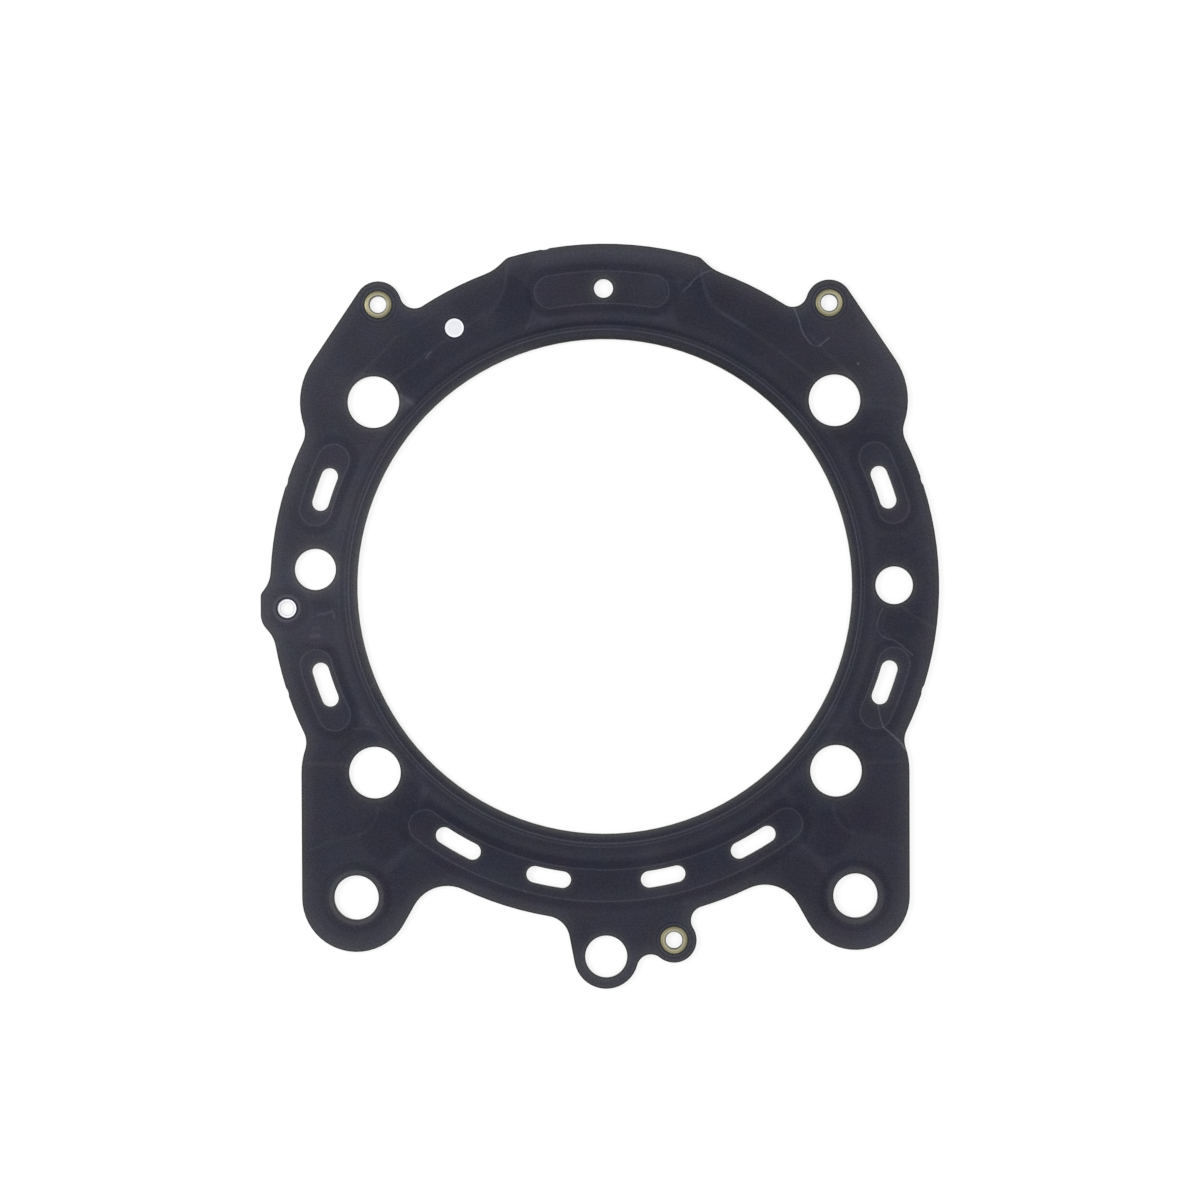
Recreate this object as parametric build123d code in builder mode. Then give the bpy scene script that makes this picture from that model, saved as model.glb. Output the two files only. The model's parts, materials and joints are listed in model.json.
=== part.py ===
from build123d import *
from collections import namedtuple
from math import acos, atan2, cos, degrees, hypot, pi, radians, sin, sqrt
import os

os.makedirs("parts", exist_ok=True)

# A three-layer steel head gasket for one cylinder: two coated sheets with pressed beads,
# a bare spacer sheet between them, and three hollow eyelets that hold the stack together.
# Frame: bore axis on Z, +Y towards the raised top arc, Z 0 on the crests of the lower beads.

# Sheets
active_thickness = 0.30
spacer_thickness = 0.40
sheet_gap = 0.03
bead_height = 0.20

# Bore, with the full bead beyond its flat land
bore_diameter = 113.0
land_width = 0.80
inner_slope_width = 1.40
crest_width = 0.75
outer_slope_width = 1.65

# Coolant slots, curved round the bore: polar angle and overall length of each pair's right-hand slot
slot_offset = 11.15
slot_width = 3.86
upper_slot_angle = 19.35
upper_slot_length = 10.10
lower_slot_angle = -19.15
lower_slot_length = 10.40
inner_slot_angle = -78.85
inner_slot_length = 10.30
outer_slot_angle = -60.10
outer_slot_length = 11.25

# Half-beads: raised plateaus with a sloped rim, round the slots, the corner holes and the sight hole
island_offset = 0.65
island_half_width = 3.75
half_bead_width = 1.90
side_island_start = 15.10
side_island_end = 25.20
top_island_half_angle = 9.50
bottom_island_half_angle = 37.20
lobe_plateau_diameter = 11.90
lobe_bead_width = 1.80
sight_plateau_diameter = 6.20
sight_bead_width = 1.80

# Outline: the ring's rim beyond the islands, and the raised arc at the top
ring_rim = 2.40
top_arc_rise = 1.90
top_arc_half_angle = 15.9
top_arc_rounding = 2.5
top_arc_root = 10.0
top_arc_flank = 1.7

# Studs, on a circle round the bore, and the pads round them
stud_offset = 11.04
stud_angle = 38.78
stud_hole_diameter = 11.80
stud_pad_radius = 16.75
stud_pad_root = 5.25

# Upper ears and corner lobes, placed from the studs
ear_shift_x = -1.15
ear_shift_y = 22.25
ear_radius = 5.30
ear_root = 3.40
lobe_shift_x = 4.30
lobe_shift_y = 28.50
lobe_radius = 12.40
lobe_root = 8.60
lobe_flank = 4.90
lobe_hole_diameter = 10.15

# Bottom tab, placed from the ring, and the lower ear, placed from the tab
tab_drop = 8.15
tab_radius = 7.35
tab_root = 5.70
tab_flank = 6.20
tab_hole_diameter = 9.60
lower_ear_shift_x = 15.50
lower_ear_shift_y = 3.70
lower_ear_radius = 5.15
lower_ear_root = 3.30
tab_web_root = 3.20

# Sight boss on the left: its side stands out of the ring, with a sharp upper and a round lower corner
boss_rise = 2.20
boss_upper_y = -2.00
boss_upper_radius = 1.60
boss_lower_y = -6.10
boss_lower_radius = 4.80
boss_root = 7.00
boss_flank = 0.90
sight_inset = 6.00
sight_y = -4.75
sight_diameter = 4.30
sight_spacer_diameter = 3.05

# Plain holes beside the bore, the vent in the top island, and the window in the outer sheets
left_hole_offset = 9.55
left_hole_y = 4.15
left_hole_diameter = 9.40
right_hole_offset = 9.60
right_hole_diameter = 8.60
vent_inset = 0.25
vent_diameter = 4.35
window_angle = 119.95
window_diameter = 4.33

# Eyelets
eyelet_bore_diameter = 3.88
eyelet_wall = 0.28
eyelet_clearance = 0.05
flange_diameter = 6.20
flange_thickness = 0.18
eyelet_mouth_radius = 0.16

# Nicks where the blank was held in its strip: one near the middle of each side slot, one on the top arc
nick_angle = 18.2
top_nick_angle = 99.8
nick_depth = 0.20
nick_radius = 3.00

# Levels, from the lower crests up
lower_sheet_z = bead_height
spacer_z = lower_sheet_z + active_thickness + sheet_gap
upper_sheet_z = spacer_z + spacer_thickness + sheet_gap
upper_face_z = upper_sheet_z + active_thickness
middle_z = spacer_z + spacer_thickness / 2
punch_depth = active_thickness + bead_height

# Radii, from the bore out
bore_radius = bore_diameter / 2
bead_inner_foot = bore_radius + land_width
bead_inner_crest = bead_inner_foot + inner_slope_width
bead_outer_crest = bead_inner_crest + crest_width
bead_outer_foot = bead_outer_crest + outer_slope_width
slot_radius = bore_radius + slot_offset
island_radius = slot_radius + island_offset
foot_half_width = island_half_width + half_bead_width
ring_radius = island_radius + foot_half_width + ring_rim
top_arc_radius = ring_radius + top_arc_rise

# Places
stud_x = (bore_radius + stud_offset) * cos(radians(stud_angle))
stud_y = (bore_radius + stud_offset) * sin(radians(stud_angle))
upper_eyelet_x = stud_x + ear_shift_x
upper_eyelet_y = stud_y + ear_shift_y
lobe_x = stud_x + lobe_shift_x
lobe_y = -stud_y - lobe_shift_y
tab_y = -ring_radius - tab_drop
lower_eyelet_x = lower_ear_shift_x
lower_eyelet_y = tab_y + lower_ear_shift_y
boss_side = ring_radius + boss_rise
sight_x = sight_inset - boss_side
left_hole_x = -bore_radius - left_hole_offset
right_hole_x = bore_radius + right_hole_offset
vent_y = island_radius - vent_inset
window_x = island_radius * cos(radians(window_angle))
window_y = island_radius * sin(radians(window_angle))

# How near to touching two discs of an outline count as touching, and the shortest line between two
touching_lean = 1 - 1e-9
smallest_line = 0.001

# A disc that the outline runs round. One with a negative radius is a hollow corner.
Disc = namedtuple("Disc", "x y radius")


def mirrored(disc):
    return Disc(-disc.x, disc.y, disc.radius)


def flipped(disc):
    return Disc(disc.x, -disc.y, disc.radius)


def on_circle(radius, angle):
    return (radius * cos(radians(angle)), radius * sin(radians(angle)))


# The point at one reach from the first disc's centre and at another from the second's, to one side
# of the line between them: 1 is its left, -1 its right.
def between(first, first_reach, second, second_reach, side):
    dx = second.x - first.x
    dy = second.y - first.y
    span = hypot(dx, dy)
    along = (first_reach**2 - second_reach**2 + span**2) / (2 * span)
    across = side * sqrt(max(first_reach**2 - along**2, 0))
    x = first.x + (along * dx - across * dy) / span
    y = first.y + (along * dy + across * dx) / span
    return (x, y)


# The hollow corner where a body that stands out of the ring runs into it. With a flank, the body's
# side is straight for that length between its own round and the corner.
def root_beside(body, radius, side, flank=0.0):
    reach = hypot(body.radius + radius, flank)
    return Disc(*between(ring, ring.radius + radius, body, reach, side), -radius)


# One face, with its outline anticlockwise round the discs in turn and straight between those that
# don't touch
def draw_round(discs):
    tangents = []
    for first, second in zip(discs, discs[1:] + discs[:1]):
        span = hypot(second.x - first.x, second.y - first.y)
        lean = (first.radius - second.radius) / span
        if abs(lean) > touching_lean:
            lean = round(lean)
        facing = atan2(second.y - first.y, second.x - first.x) - acos(lean)
        leaves = (first.x + first.radius * cos(facing), first.y + first.radius * sin(facing))
        arrives = (second.x + second.radius * cos(facing), second.y + second.radius * sin(facing))
        tangents.append((leaves, arrives))
    with BuildLine() as outline:
        for index, disc in enumerate(discs):
            arrival = tangents[index - 1][1]
            leaves, arrives = tangents[index]
            start = atan2(arrival[1] - disc.y, arrival[0] - disc.x)
            end = atan2(leaves[1] - disc.y, leaves[0] - disc.x)
            if disc.radius > 0:
                sweep = (end - start) % (2 * pi)
            else:
                sweep = -((start - end) % (2 * pi))
            CenterArc((disc.x, disc.y), abs(disc.radius), degrees(start), degrees(sweep))
            if hypot(arrives[0] - leaves[0], arrives[1] - leaves[1]) > smallest_line:
                Line(leaves, arrives)
    make_face(outline.line)


# A slot with round ends, curved round the bore's axis, as the discs of its outline
def curved_slot(radius, half_width, start_angle, end_angle):
    return [
        Disc(*on_circle(radius, start_angle), half_width),
        Disc(0, 0, radius + half_width),
        Disc(*on_circle(radius, end_angle), half_width),
        Disc(0, 0, half_width - radius),
    ]


def slot_about(angle, length):
    half_angle = degrees((length - slot_width) / 2 / slot_radius)
    return curved_slot(slot_radius, slot_width / 2, angle - half_angle, angle + half_angle)


def island(start_angle, end_angle, half_width):
    return curved_slot(island_radius, half_width, start_angle, end_angle)


ring = Disc(0, 0, ring_radius)
top_arc = Disc(0, 0, top_arc_radius)
stud_pad = Disc(stud_x, stud_y, stud_pad_radius)
ear = Disc(upper_eyelet_x, upper_eyelet_y, ear_radius)
lobe = Disc(lobe_x, lobe_y, lobe_radius)
tab = Disc(0, tab_y, tab_radius)
lower_ear = Disc(lower_eyelet_x, lower_eyelet_y, lower_ear_radius)
boss_upper = Disc(boss_upper_radius - boss_side, boss_upper_y, boss_upper_radius)
boss_lower = Disc(boss_lower_radius - boss_side, boss_lower_y, boss_lower_radius)
top_arc_corner = on_circle(top_arc_radius - top_arc_rounding, 90 - top_arc_half_angle)
top_shoulder = Disc(*top_arc_corner, top_arc_rounding)

pad_waist = root_beside(stud_pad, stud_pad_root, -1)
ear_waist = root_beside(ear, ear_root, 1)
shoulder_waist = root_beside(top_shoulder, top_arc_root, -1, top_arc_flank)
lobe_waist = root_beside(mirrored(lobe), lobe_root, 1, lobe_flank)
tab_waist = root_beside(tab, tab_root, -1, tab_flank)
tab_web_reach = tab_radius + tab_web_root
tab_web = Disc(*between(tab, tab_web_reach, lower_ear, lower_ear_radius + tab_web_root, -1), -tab_web_root)
lower_ear_waist = root_beside(lower_ear, lower_ear_root, 1)
boss_upper_waist = root_beside(boss_upper, boss_root, -1, boss_flank)
boss_lower_waist = root_beside(boss_lower, boss_root, 1, boss_flank)

upper_right = [pad_waist, stud_pad, ear, ear_waist, ring]
raised_arc = [shoulder_waist, top_shoulder, top_arc, mirrored(top_shoulder), mirrored(shoulder_waist), ring]
upper_left = [mirrored(disc) for disc in (ear_waist, ear, stud_pad, pad_waist)]
sight_boss = [ring, boss_upper_waist, boss_upper, boss_lower, boss_lower_waist, ring]
lower_left = [mirrored(flipped(pad_waist)), mirrored(flipped(stud_pad)), mirrored(lobe), lobe_waist, ring]
bottom = [tab_waist, tab, tab_web, lower_ear, lower_ear_waist, ring]
lower_right = [mirrored(lobe_waist), lobe, flipped(stud_pad), flipped(pad_waist), ring]
gasket_outline = upper_right + raised_arc + upper_left + sight_boss + lower_left + bottom + lower_right

# Bead slopes: how far each rim leans out from upright
half_bead_taper = degrees(atan2(half_bead_width, bead_height))
lobe_bead_taper = degrees(atan2(lobe_bead_width, bead_height))
sight_bead_taper = degrees(atan2(sight_bead_width, bead_height))

slots = []
for slot_angle, slot_length in (
    (upper_slot_angle, upper_slot_length),
    (lower_slot_angle, lower_slot_length),
    (inner_slot_angle, inner_slot_length),
    (outer_slot_angle, outer_slot_length),
):
    slots.append(slot_about(slot_angle, slot_length))
    slots.append(slot_about(180 - slot_angle, slot_length))

# The half-bead islands at their feet, where the slope meets the flat sheet
islands = []
for middle in (0, 180):
    islands.append(island(middle + side_island_start, middle + side_island_end, foot_half_width))
    islands.append(island(middle - side_island_end, middle - side_island_start, foot_half_width))
islands.append(island(90 - top_island_half_angle, 90 + top_island_half_angle, foot_half_width))
islands.append(island(-90 - bottom_island_half_angle, -90 + bottom_island_half_angle, foot_half_width))

stud_points = [(x, y) for x in (-stud_x, stud_x) for y in (-stud_y, stud_y)]
lobe_points = [(-lobe_x, lobe_y), (lobe_x, lobe_y)]
eyelet_points = {
    "eyelet_upper_left": (-upper_eyelet_x, upper_eyelet_y),
    "eyelet_upper_right": (upper_eyelet_x, upper_eyelet_y),
    "eyelet_lower": (lower_eyelet_x, lower_eyelet_y),
}
eyelet_bore_radius = eyelet_bore_diameter / 2
eyelet_barrel_radius = eyelet_bore_radius + eyelet_wall
eyelet_hole_radius = eyelet_barrel_radius + eyelet_clearance


# The blank of one sheet, with its strip nicks
def draw_blank():
    draw_round(gasket_outline)
    side_nicks = [nick_angle, -nick_angle, 180 - nick_angle, 180 + nick_angle]
    nick_points = [on_circle(ring_radius + nick_radius - nick_depth, angle) for angle in side_nicks]
    nick_points.append(on_circle(top_arc_radius + nick_radius - nick_depth, top_nick_angle))
    with Locations(nick_points):
        Circle(nick_radius, mode=Mode.SUBTRACT)


# The holes that every sheet has
def draw_common_holes():
    Circle(bore_radius)
    with Locations(stud_points):
        Circle(stud_hole_diameter / 2)
    with Locations(lobe_points):
        Circle(lobe_hole_diameter / 2)
    with Locations((0, tab_y)):
        Circle(tab_hole_diameter / 2)
    with Locations((left_hole_x, left_hole_y)):
        Circle(left_hole_diameter / 2)
    with Locations((right_hole_x, 0)):
        Circle(right_hole_diameter / 2)
    with Locations((0, vent_y)):
        Circle(vent_diameter / 2)
    with Locations(*eyelet_points.values()):
        Circle(eyelet_hole_radius)
    for slot in slots:
        draw_round(slot)


# The pressed form: what stands up from the sheet's upper face, and the same form again as the
# hollow under it, so that the sheet keeps its thickness through every bead
def press_beads(face_z, mode):
    face = Plane.XY.offset(face_z)
    with BuildSketch(face) as island_feet:
        for discs in islands:
            draw_round(discs)
    extrude(island_feet.sketch, amount=bead_height, taper=half_bead_taper, mode=mode)
    with BuildSketch(face) as lobe_feet:
        with Locations(lobe_points):
            Circle(lobe_plateau_diameter / 2 + lobe_bead_width)
    extrude(lobe_feet.sketch, amount=bead_height, taper=lobe_bead_taper, mode=mode)
    with BuildSketch(face) as sight_foot:
        with Locations((sight_x, sight_y)):
            Circle(sight_plateau_diameter / 2 + sight_bead_width)
    extrude(sight_foot.sketch, amount=bead_height, taper=sight_bead_taper, mode=mode)
    with BuildSketch(Plane.XZ) as bead_profile:
        Polygon(
            (bead_inner_foot, face_z),
            (bead_outer_foot, face_z),
            (bead_outer_crest, face_z + bead_height),
            (bead_inner_crest, face_z + bead_height),
            align=None,
        )
    revolve(bead_profile.sketch, axis=Axis.Z, mode=mode)


with BuildPart() as upper_layer:
    with BuildSketch(Plane.XY.offset(upper_sheet_z)) as upper_blank:
        draw_blank()
    extrude(amount=active_thickness)
    press_beads(upper_face_z, Mode.ADD)
    press_beads(upper_sheet_z, Mode.SUBTRACT)
    with BuildSketch(Plane.XY.offset(upper_sheet_z)) as upper_holes:
        draw_common_holes()
        with Locations((window_x, window_y)):
            Circle(window_diameter / 2)
        with Locations((sight_x, sight_y)):
            Circle(sight_diameter / 2)
    extrude(amount=punch_depth, mode=Mode.SUBTRACT)
upper_layer.part.label = "upper_layer"
export_step(upper_layer.part, "parts/upper_layer.step")

# The spacer is blind under the window, and its sight hole is smaller than the outer sheets'
with BuildPart() as spacer_layer:
    with BuildSketch(Plane.XY.offset(spacer_z)) as spacer_blank:
        draw_blank()
    extrude(amount=spacer_thickness)
    with BuildSketch(Plane.XY.offset(spacer_z)) as spacer_holes:
        draw_common_holes()
        with Locations((sight_x, sight_y)):
            Circle(sight_spacer_diameter / 2)
    extrude(amount=spacer_thickness, mode=Mode.SUBTRACT)
spacer_layer.part.label = "spacer_layer"
export_step(spacer_layer.part, "parts/spacer_layer.step")

with BuildPart() as lower_layer:
    mirror(upper_layer.part, about=Plane.XY.offset(middle_z))
lower_layer.part.label = "lower_layer"
export_step(lower_layer.part, "parts/lower_layer.step")

# Eyelets: a thin tube through the stack, rolled out flat on both faces
lower_flange_z = lower_sheet_z - flange_thickness
upper_flange_z = upper_face_z + flange_thickness
flange_radius = flange_diameter / 2
for eyelet_name, (eyelet_x, eyelet_y) in eyelet_points.items():
    with BuildPart() as eyelet:
        with BuildSketch(Plane.XZ.offset(-eyelet_y)) as section:
            with Locations((eyelet_x, 0)):
                Polygon(
                    (eyelet_bore_radius, lower_flange_z),
                    (flange_radius, lower_flange_z),
                    (flange_radius, lower_sheet_z),
                    (eyelet_barrel_radius, lower_sheet_z),
                    (eyelet_barrel_radius, upper_face_z),
                    (flange_radius, upper_face_z),
                    (flange_radius, upper_flange_z),
                    (eyelet_bore_radius, upper_flange_z),
                    align=None,
                )
            fillet(section.vertices().group_by(Axis.X)[0], eyelet_mouth_radius)
        revolve(axis=Axis((eyelet_x, eyelet_y, 0), (0, 0, 1)))
    eyelet.part.label = eyelet_name
    export_step(eyelet.part, f"parts/{eyelet_name}.step")
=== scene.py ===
import json
import math
import bpy
import bmesh
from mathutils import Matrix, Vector


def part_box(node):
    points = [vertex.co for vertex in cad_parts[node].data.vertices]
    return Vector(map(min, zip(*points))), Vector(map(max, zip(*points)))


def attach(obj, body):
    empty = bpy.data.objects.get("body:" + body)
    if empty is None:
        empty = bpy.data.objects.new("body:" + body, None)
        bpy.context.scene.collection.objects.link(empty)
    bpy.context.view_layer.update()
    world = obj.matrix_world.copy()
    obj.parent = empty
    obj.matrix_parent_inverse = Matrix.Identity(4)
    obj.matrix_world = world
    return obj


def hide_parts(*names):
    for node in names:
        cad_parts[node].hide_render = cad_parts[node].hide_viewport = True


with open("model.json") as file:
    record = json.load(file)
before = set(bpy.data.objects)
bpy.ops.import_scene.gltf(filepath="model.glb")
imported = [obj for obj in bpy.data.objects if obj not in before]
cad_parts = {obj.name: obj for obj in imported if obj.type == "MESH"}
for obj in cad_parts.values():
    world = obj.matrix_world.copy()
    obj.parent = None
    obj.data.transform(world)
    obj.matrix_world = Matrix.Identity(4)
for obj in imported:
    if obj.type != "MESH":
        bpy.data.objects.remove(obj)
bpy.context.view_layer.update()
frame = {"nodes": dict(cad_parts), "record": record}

record = frame["record"]
nodes = frame["nodes"]
print("frame loaded:", ", ".join(sorted(nodes)))

# Everything on the sheets is laid out in millimetres, in the part's own frame: the bore's axis
# is the middle, and +Y goes to the raised top arc.
perMetre = 1000.0

# The sheets' layout
sheet = {
    "boreRadius": 56.5,
    "ringRadius": 76.35,
    "topArcRadius": 78.25,
    "topArcHalfAngle": 15.9,
    "topArcRounding": 2.5,
    "stud": (52.65, 42.30),
    "studHole": 5.90,
    "studPad": 16.75,
    "padRoot": 5.25,
    "ear": (51.50, 64.55),
    "earRadius": 5.30,
    "earRoot": 3.40,
    "lobe": (56.95, -70.80),
    "lobeRadius": 12.40,
    "lobeRoot": 8.60,
    "lobeFlank": 4.90,
    "lobeHole": 5.075,
    "tab": (0.0, -84.50),
    "tabRadius": 7.35,
    "tabRoot": 5.70,
    "tabFlank": 6.20,
    "tabHole": 4.80,
    "tabWebRoot": 3.20,
    "lowerEar": (15.50, -80.80),
    "lowerEarRadius": 5.15,
    "lowerEarRoot": 3.30,
    "bossSide": 78.55,
    "leftHole": (-66.05, 4.15, 4.70),
    "rightHole": (66.10, 0.0, 4.30),
    "vent": (0.0, 68.05, 2.175),
    "window": (-34.11, 59.18, 2.165),
    "sight": (-72.55, -4.75, 2.15),
    "slotRadius": 67.65,
    "slotHalfWidth": 1.93,
    "slotNarrowing": 1.6,
    "slots": [(19.35, 10.10), (-19.15, 10.40), (-78.85, 10.30), (-60.10, 11.25)],
    "islandRadius": 68.30,
    "islandHalfWidth": 3.75,
}


# Node helpers

def addNode(tree, kind, **settings):
    made = tree.nodes.new(kind)
    count = len(tree.nodes)
    made.location = ((count // 12) * 220, -(count % 12) * 170)
    for name, value in settings.items():
        setattr(made, name, value)
    return made


def feed(tree, socket, value):
    if isinstance(value, bpy.types.NodeSocket):
        tree.links.new(value, socket)
    elif value is not None:
        socket.default_value = value


def calc(tree, operation, *values):
    made = addNode(tree, "ShaderNodeMath", operation=operation)
    for socket, value in zip(made.inputs, values):
        feed(tree, socket, value)
    return made.outputs[0]


def vectorCalc(tree, operation, *values, scale=None):
    made = addNode(tree, "ShaderNodeVectorMath", operation=operation)
    for socket, value in zip(made.inputs, values):
        feed(tree, socket, value)
    if scale is not None:
        feed(tree, made.inputs["Scale"], scale)
    single = operation in ("DOT_PRODUCT", "LENGTH", "DISTANCE")
    return made.outputs["Value" if single else "Vector"]


def newGroup(name, inputs, outputs):
    tree = bpy.data.node_groups.new(name, "ShaderNodeTree")
    for label, kind, value in inputs:
        socket = tree.interface.new_socket(label, in_out="INPUT", socket_type=kind)
        if value is not None:
            socket.default_value = value
    for label, kind in outputs:
        tree.interface.new_socket(label, in_out="OUTPUT", socket_type=kind)
    return tree, addNode(tree, "NodeGroupInput").outputs, addNode(tree, "NodeGroupOutput").inputs


def clamped(tree, value):
    # a node's own clamp is worked out last of all, so that everything after it would wait
    return calc(tree, "MINIMUM", calc(tree, "MAXIMUM", value, 0.0), 1.0)


def useGroup(tree, group, **values):
    made = addNode(tree, "ShaderNodeGroup", node_tree=group)
    for label, value in values.items():
        feed(tree, made.inputs[label], value)
    return made.outputs


def noise(tree, place, scale, detail=2.0):
    made = addNode(tree, "ShaderNodeTexNoise")
    feed(tree, made.inputs["Vector"], place)
    made.inputs["Scale"].default_value = scale
    made.inputs["Detail"].default_value = detail
    return made.outputs


def nearestOf(tree, gaps):
    nearest = None
    for gap in gaps:
        nearest = gap if nearest is None else calc(tree, "MINIMUM", nearest, gap)
    return nearest


def newMaterial(name):
    material = bpy.data.materials.new(name)
    material.use_nodes = True
    tree = material.node_tree
    return material, tree, tree.nodes["Principled BSDF"]


def ramp(tree, value, stops):
    made = addNode(tree, "ShaderNodeValToRGB")
    points = made.color_ramp.elements
    while len(points) < len(stops):
        points.new(0.5)
    for point, (place, colour) in zip(points, stops):
        point.position = place
        point.color = (*colour, 1.0)
    feed(tree, made.inputs[0], value)
    return made.outputs["Color"]


number, vector, colour3 = "NodeSocketFloat", "NodeSocketVector", "NodeSocketColor"


def at(x, y):
    return (x, y, 0.0)


# Shapes on the flat sheet, as groups that give how far a point is from them

def makeArcEdge():
    tree, given, out = newGroup("arcEdge", [
        ("Point", vector, None), ("Centre", vector, None), ("Radius", number, 10.0),
        ("Facing", vector, None), ("Opening", number, 0.0)], [("Distance", number)])
    away = vectorCalc(tree, "SUBTRACT", given["Point"], given["Centre"])
    reach = vectorCalc(tree, "LENGTH", away)
    gap = calc(tree, "ABSOLUTE", calc(tree, "SUBTRACT", reach, given["Radius"]))
    ahead = vectorCalc(tree, "DOT_PRODUCT", away, given["Facing"])
    outside = calc(tree, "LESS_THAN", ahead, calc(tree, "MULTIPLY", reach, given["Opening"]))
    feed(tree, out["Distance"], calc(tree, "MULTIPLY_ADD", outside, 100.0, gap))
    return tree


def makeStraightEdge():
    tree, given, out = newGroup("straightEdge", [
        ("Point", vector, None), ("Start", vector, None), ("Along", vector, None),
        ("Length", number, 10.0)], [("Distance", number)])
    away = vectorCalc(tree, "SUBTRACT", given["Point"], given["Start"])
    gap = vectorCalc(tree, "LENGTH", vectorCalc(tree, "CROSS_PRODUCT", away, given["Along"]))
    half = calc(tree, "MULTIPLY", given["Length"], 0.5)
    offMiddle = calc(tree, "SUBTRACT", vectorCalc(tree, "DOT_PRODUCT", away, given["Along"]), half)
    outside = calc(tree, "GREATER_THAN", calc(tree, "ABSOLUTE", offMiddle), half)
    feed(tree, out["Distance"], calc(tree, "MULTIPLY_ADD", outside, 100.0, gap))
    return tree


def makeCurvedSlot():
    # signed distance from a round-ended slot that is curved round the bore: below 0 inside it
    tree, given, out = newGroup("curvedSlot", [
        ("Point", vector, None), ("Bore", number, 0.0), ("Radius", number, 68.0), ("Middle", number, 0.0),
        ("Spread", number, 0.1), ("Half Width", number, 2.0)], [("Distance", number)])
    facing = addNode(tree, "ShaderNodeCombineXYZ")
    feed(tree, facing.inputs["X"], calc(tree, "COSINE", given["Middle"]))
    feed(tree, facing.inputs["Y"], calc(tree, "SINE", given["Middle"]))
    ahead = vectorCalc(tree, "DOT_PRODUCT", given["Point"], facing.outputs[0])
    aside = vectorCalc(tree, "LENGTH", vectorCalc(tree, "CROSS_PRODUCT", given["Point"], facing.outputs[0]))
    turned = addNode(tree, "ShaderNodeCombineXYZ")
    feed(tree, turned.inputs["X"], ahead)
    feed(tree, turned.inputs["Y"], aside)
    end = addNode(tree, "ShaderNodeCombineXYZ")
    feed(tree, end.inputs["X"], calc(tree, "MULTIPLY", given["Radius"], calc(tree, "COSINE", given["Spread"])))
    feed(tree, end.inputs["Y"], calc(tree, "MULTIPLY", given["Radius"], calc(tree, "SINE", given["Spread"])))
    fromEnd = vectorCalc(tree, "DISTANCE", turned.outputs[0], end.outputs[0])
    fromArc = calc(tree, "ABSOLUTE", calc(tree, "SUBTRACT", given["Bore"], given["Radius"]))
    beyond = calc(tree, "GREATER_THAN", calc(tree, "ARCTAN2", aside, ahead), given["Spread"])
    nearest = addNode(tree, "ShaderNodeMix", data_type="FLOAT")
    feed(tree, nearest.inputs[0], beyond)
    feed(tree, nearest.inputs[2], fromArc)
    feed(tree, nearest.inputs[3], fromEnd)
    feed(tree, out["Distance"], calc(tree, "SUBTRACT", nearest.outputs[0], given["Half Width"]))
    return tree


def makeStroke():
    # a straight mark from its start: Share is 1 over the square of its length
    tree, given, out = newGroup("stroke", [
        ("Point", vector, None), ("Start", vector, None), ("Along", vector, None), ("Share", number, 1.0)],
        [("Distance", number)])
    away = vectorCalc(tree, "SUBTRACT", given["Point"], given["Start"])
    ahead = vectorCalc(tree, "DOT_PRODUCT", away, given["Along"])
    share = clamped(tree, calc(tree, "MULTIPLY", ahead, given["Share"]))
    foot = vectorCalc(tree, "SCALE", given["Along"], scale=share)
    feed(tree, out["Distance"], vectorCalc(tree, "DISTANCE", away, foot))
    return tree


def makeSoftBand():
    # 1 on the middle of a band, falling smoothly to nothing about two widths away
    tree, given, out = newGroup("softBand", [
        ("Distance", number, 0.0), ("Middle", number, 0.0), ("Width", number, 1.0)], [("Mask", number)])
    share = calc(tree, "DIVIDE", 1.0, given["Width"])
    shift = calc(tree, "MULTIPLY", calc(tree, "MULTIPLY", given["Middle"], share), -1.0)
    off = calc(tree, "MULTIPLY_ADD", given["Distance"], share, shift)
    feed(tree, out["Mask"], calc(tree, "POWER", math.exp(-1), calc(tree, "MULTIPLY", off, off)))
    return tree


def makeSoftStep():
    # 1 below the limit and 0 above it, with a soft change over the width
    tree, given, out = newGroup("softStep", [
        ("Distance", number, 0.0), ("Limit", number, 0.0), ("Width", number, 1.0)], [("Mask", number)])
    off = calc(tree, "DIVIDE", calc(tree, "SUBTRACT", given["Limit"], given["Distance"]), given["Width"])
    share = calc(tree, "ADD", off, 0.5)
    eased = addNode(tree, "ShaderNodeMapRange", interpolation_type="SMOOTHSTEP", clamp=False)
    feed(tree, eased.inputs[0], share)
    feed(tree, out["Mask"], eased.outputs[0])
    return tree


# Where a point lies on the sheet, worked out once and handed to every group below
placeLabels = {"Point": vector, "Folded": vector, "Quarter": vector, "Bore": number, "Eyelets": number}
placeInputs = [(label, kind, None) for label, kind in placeLabels.items()]


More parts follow.
